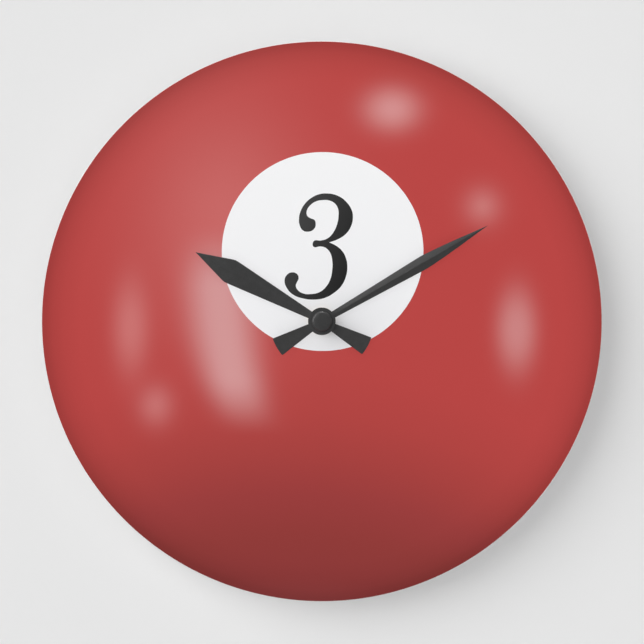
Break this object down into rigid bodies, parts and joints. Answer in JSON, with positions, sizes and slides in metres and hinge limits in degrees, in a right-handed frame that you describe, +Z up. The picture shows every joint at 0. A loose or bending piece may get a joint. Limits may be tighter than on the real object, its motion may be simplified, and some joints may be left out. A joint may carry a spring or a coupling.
{
  "type": "wall clock",
  "caption": "Round frameless wall clock: printed acrylic disc dial with a pool-ball picture, two black hands, and a square quartz movement with hanger behind.",
  "frame": {"origin": "where the axis of the hands meets the wall, on the back face of the rear cover", "axes": "the clock faces -Y and its back faces the wall at +Y; +X is to the viewer's right; +Z is up, towards twelve o'clock"},
  "size_m": [0.273, 0.031, 0.273],
  "materials": {
    "clear_acrylic": "clear cast acrylic, polished faces and a satin sawn edge",
    "printed_film": "printed film, semi-gloss",
    "black_lacquer": "satin black lacquer",
    "case_plastic": "fine spark texture",
    "white_plastic": "moulded natural acetal",
    "brass": "turned",
    "steel": "bright",
    "zinc_steel": "zinc plated",
    "stator_iron": "stamped soft iron",
    "copper_wire": "enamelled copper wire, wound",
    "rubber": "matt",
    "board": "solder mask",
    "resin": "cast resin",
    "magnet": "sintered",
    "cell_sleeve": "shrink sleeve"
  },
  "bodies": {
    "clock_body": {"dial_plate": "clear_acrylic", "dial_print": "printed_film", "dial_washer": "brass", "hex_nut": "brass", "rubber_gasket": "rubber", "hanger_plate": "zinc_steel", "threaded_bush": "brass", "case_front": "case_plastic", "rear_cover": "case_plastic", "train_bridge": "white_plastic", "cover_screw_1": "steel", "cover_screw_2": "steel", "cover_screw_3": "steel", "cover_screw_4": "steel", "stator_screw_left": "steel", "stator_screw_right": "steel", "coil_bobbin": "white_plastic", "coil_winding": "copper_wire", "coil_core": "stator_iron", "stator_plate": "stator_iron", "circuit_board": "board", "driver_chip": "resin", "quartz_crystal": "steel", "positive_contact": "zinc_steel", "negative_contact": "zinc_steel"},
    "minute_hand_set": {"minute_tube": "brass", "minute_hand": "black_lacquer", "hand_nut": "black_lacquer"},
    "hour_hand_set": {"hour_wheel": "white_plastic", "hour_hand": "black_lacquer", "hour_hand_collet": "black_lacquer"},
    "minute_wheel_set": {"minute_wheel": "white_plastic"},
    "setting_knob_set": {"setting_knob": "case_plastic"},
    "seconds_set": {"seconds_wheel": "white_plastic", "seconds_arbor": "steel"},
    "intermediate_set": {"intermediate_wheel": "white_plastic"},
    "rotor_set": {"rotor_pinion": "white_plastic", "rotor_magnet": "magnet"},
    "third_set": {"third_wheel": "white_plastic"},
    "centre_set": {"centre_wheel": "brass", "clutch_spring": "steel"},
    "battery": {"battery_can": "steel", "battery_sleeve": "cell_sleeve"}
  },
  "joints": [
    {"name": "minute_turn", "type": "hinge", "parent": "clock_body", "child": "minute_hand_set", "pos_m": [0, 0, 0], "axis": [0, 1, 0], "continuous": true},
    {"name": "hour_turn", "type": "hinge", "parent": "clock_body", "child": "hour_hand_set", "pos_m": [0, 0, 0], "axis": [0, 1, 0], "continuous": true},
    {"name": "minute_wheel_turn", "type": "hinge", "parent": "clock_body", "child": "minute_wheel_set", "pos_m": [0, 0, 0.0096], "axis": [0, 1, 0], "continuous": true},
    {"name": "knob_turn", "type": "hinge", "parent": "clock_body", "child": "setting_knob_set", "pos_m": [0.00389, 0, 0.01794], "axis": [0, 1, 0], "continuous": true},
    {"name": "seconds_turn", "type": "hinge", "parent": "clock_body", "child": "seconds_set", "pos_m": [0, 0, 0], "axis": [0, 1, 0], "continuous": true},
    {"name": "intermediate_turn", "type": "hinge", "parent": "clock_body", "child": "intermediate_set", "pos_m": [-0.00935, 0, 0.0054], "axis": [0, 1, 0], "continuous": true},
    {"name": "rotor_turn", "type": "hinge", "parent": "clock_body", "child": "rotor_set", "pos_m": [-0.0176, 0, 0.007], "axis": [0, 1, 0], "continuous": true},
    {"name": "third_turn", "type": "hinge", "parent": "clock_body", "child": "third_set", "pos_m": [0.01015, 0, 0.00369], "axis": [0, 1, 0], "continuous": true},
    {"name": "centre_turn", "type": "hinge", "parent": "clock_body", "child": "centre_set", "pos_m": [0, 0, 0], "axis": [0, 1, 0], "continuous": true},
    {"name": "battery_slide", "type": "slide", "parent": "clock_body", "child": "battery", "axis": [0, 1, 0], "range_m": [0, 0.018]}
  ],
  "couplings": [
    {"joint": "hour_turn", "follows": "minute_turn", "ratio": 0.083333},
    {"joint": "minute_wheel_turn", "follows": "minute_turn", "ratio": -0.33333},
    {"joint": "knob_turn", "follows": "minute_turn", "ratio": 1.2},
    {"joint": "intermediate_turn", "follows": "seconds_turn", "ratio": -5},
    {"joint": "rotor_turn", "follows": "seconds_turn", "ratio": 30},
    {"joint": "third_turn", "follows": "seconds_turn", "ratio": -0.125},
    {"joint": "centre_turn", "follows": "seconds_turn", "ratio": 0.016667}
  ]
}
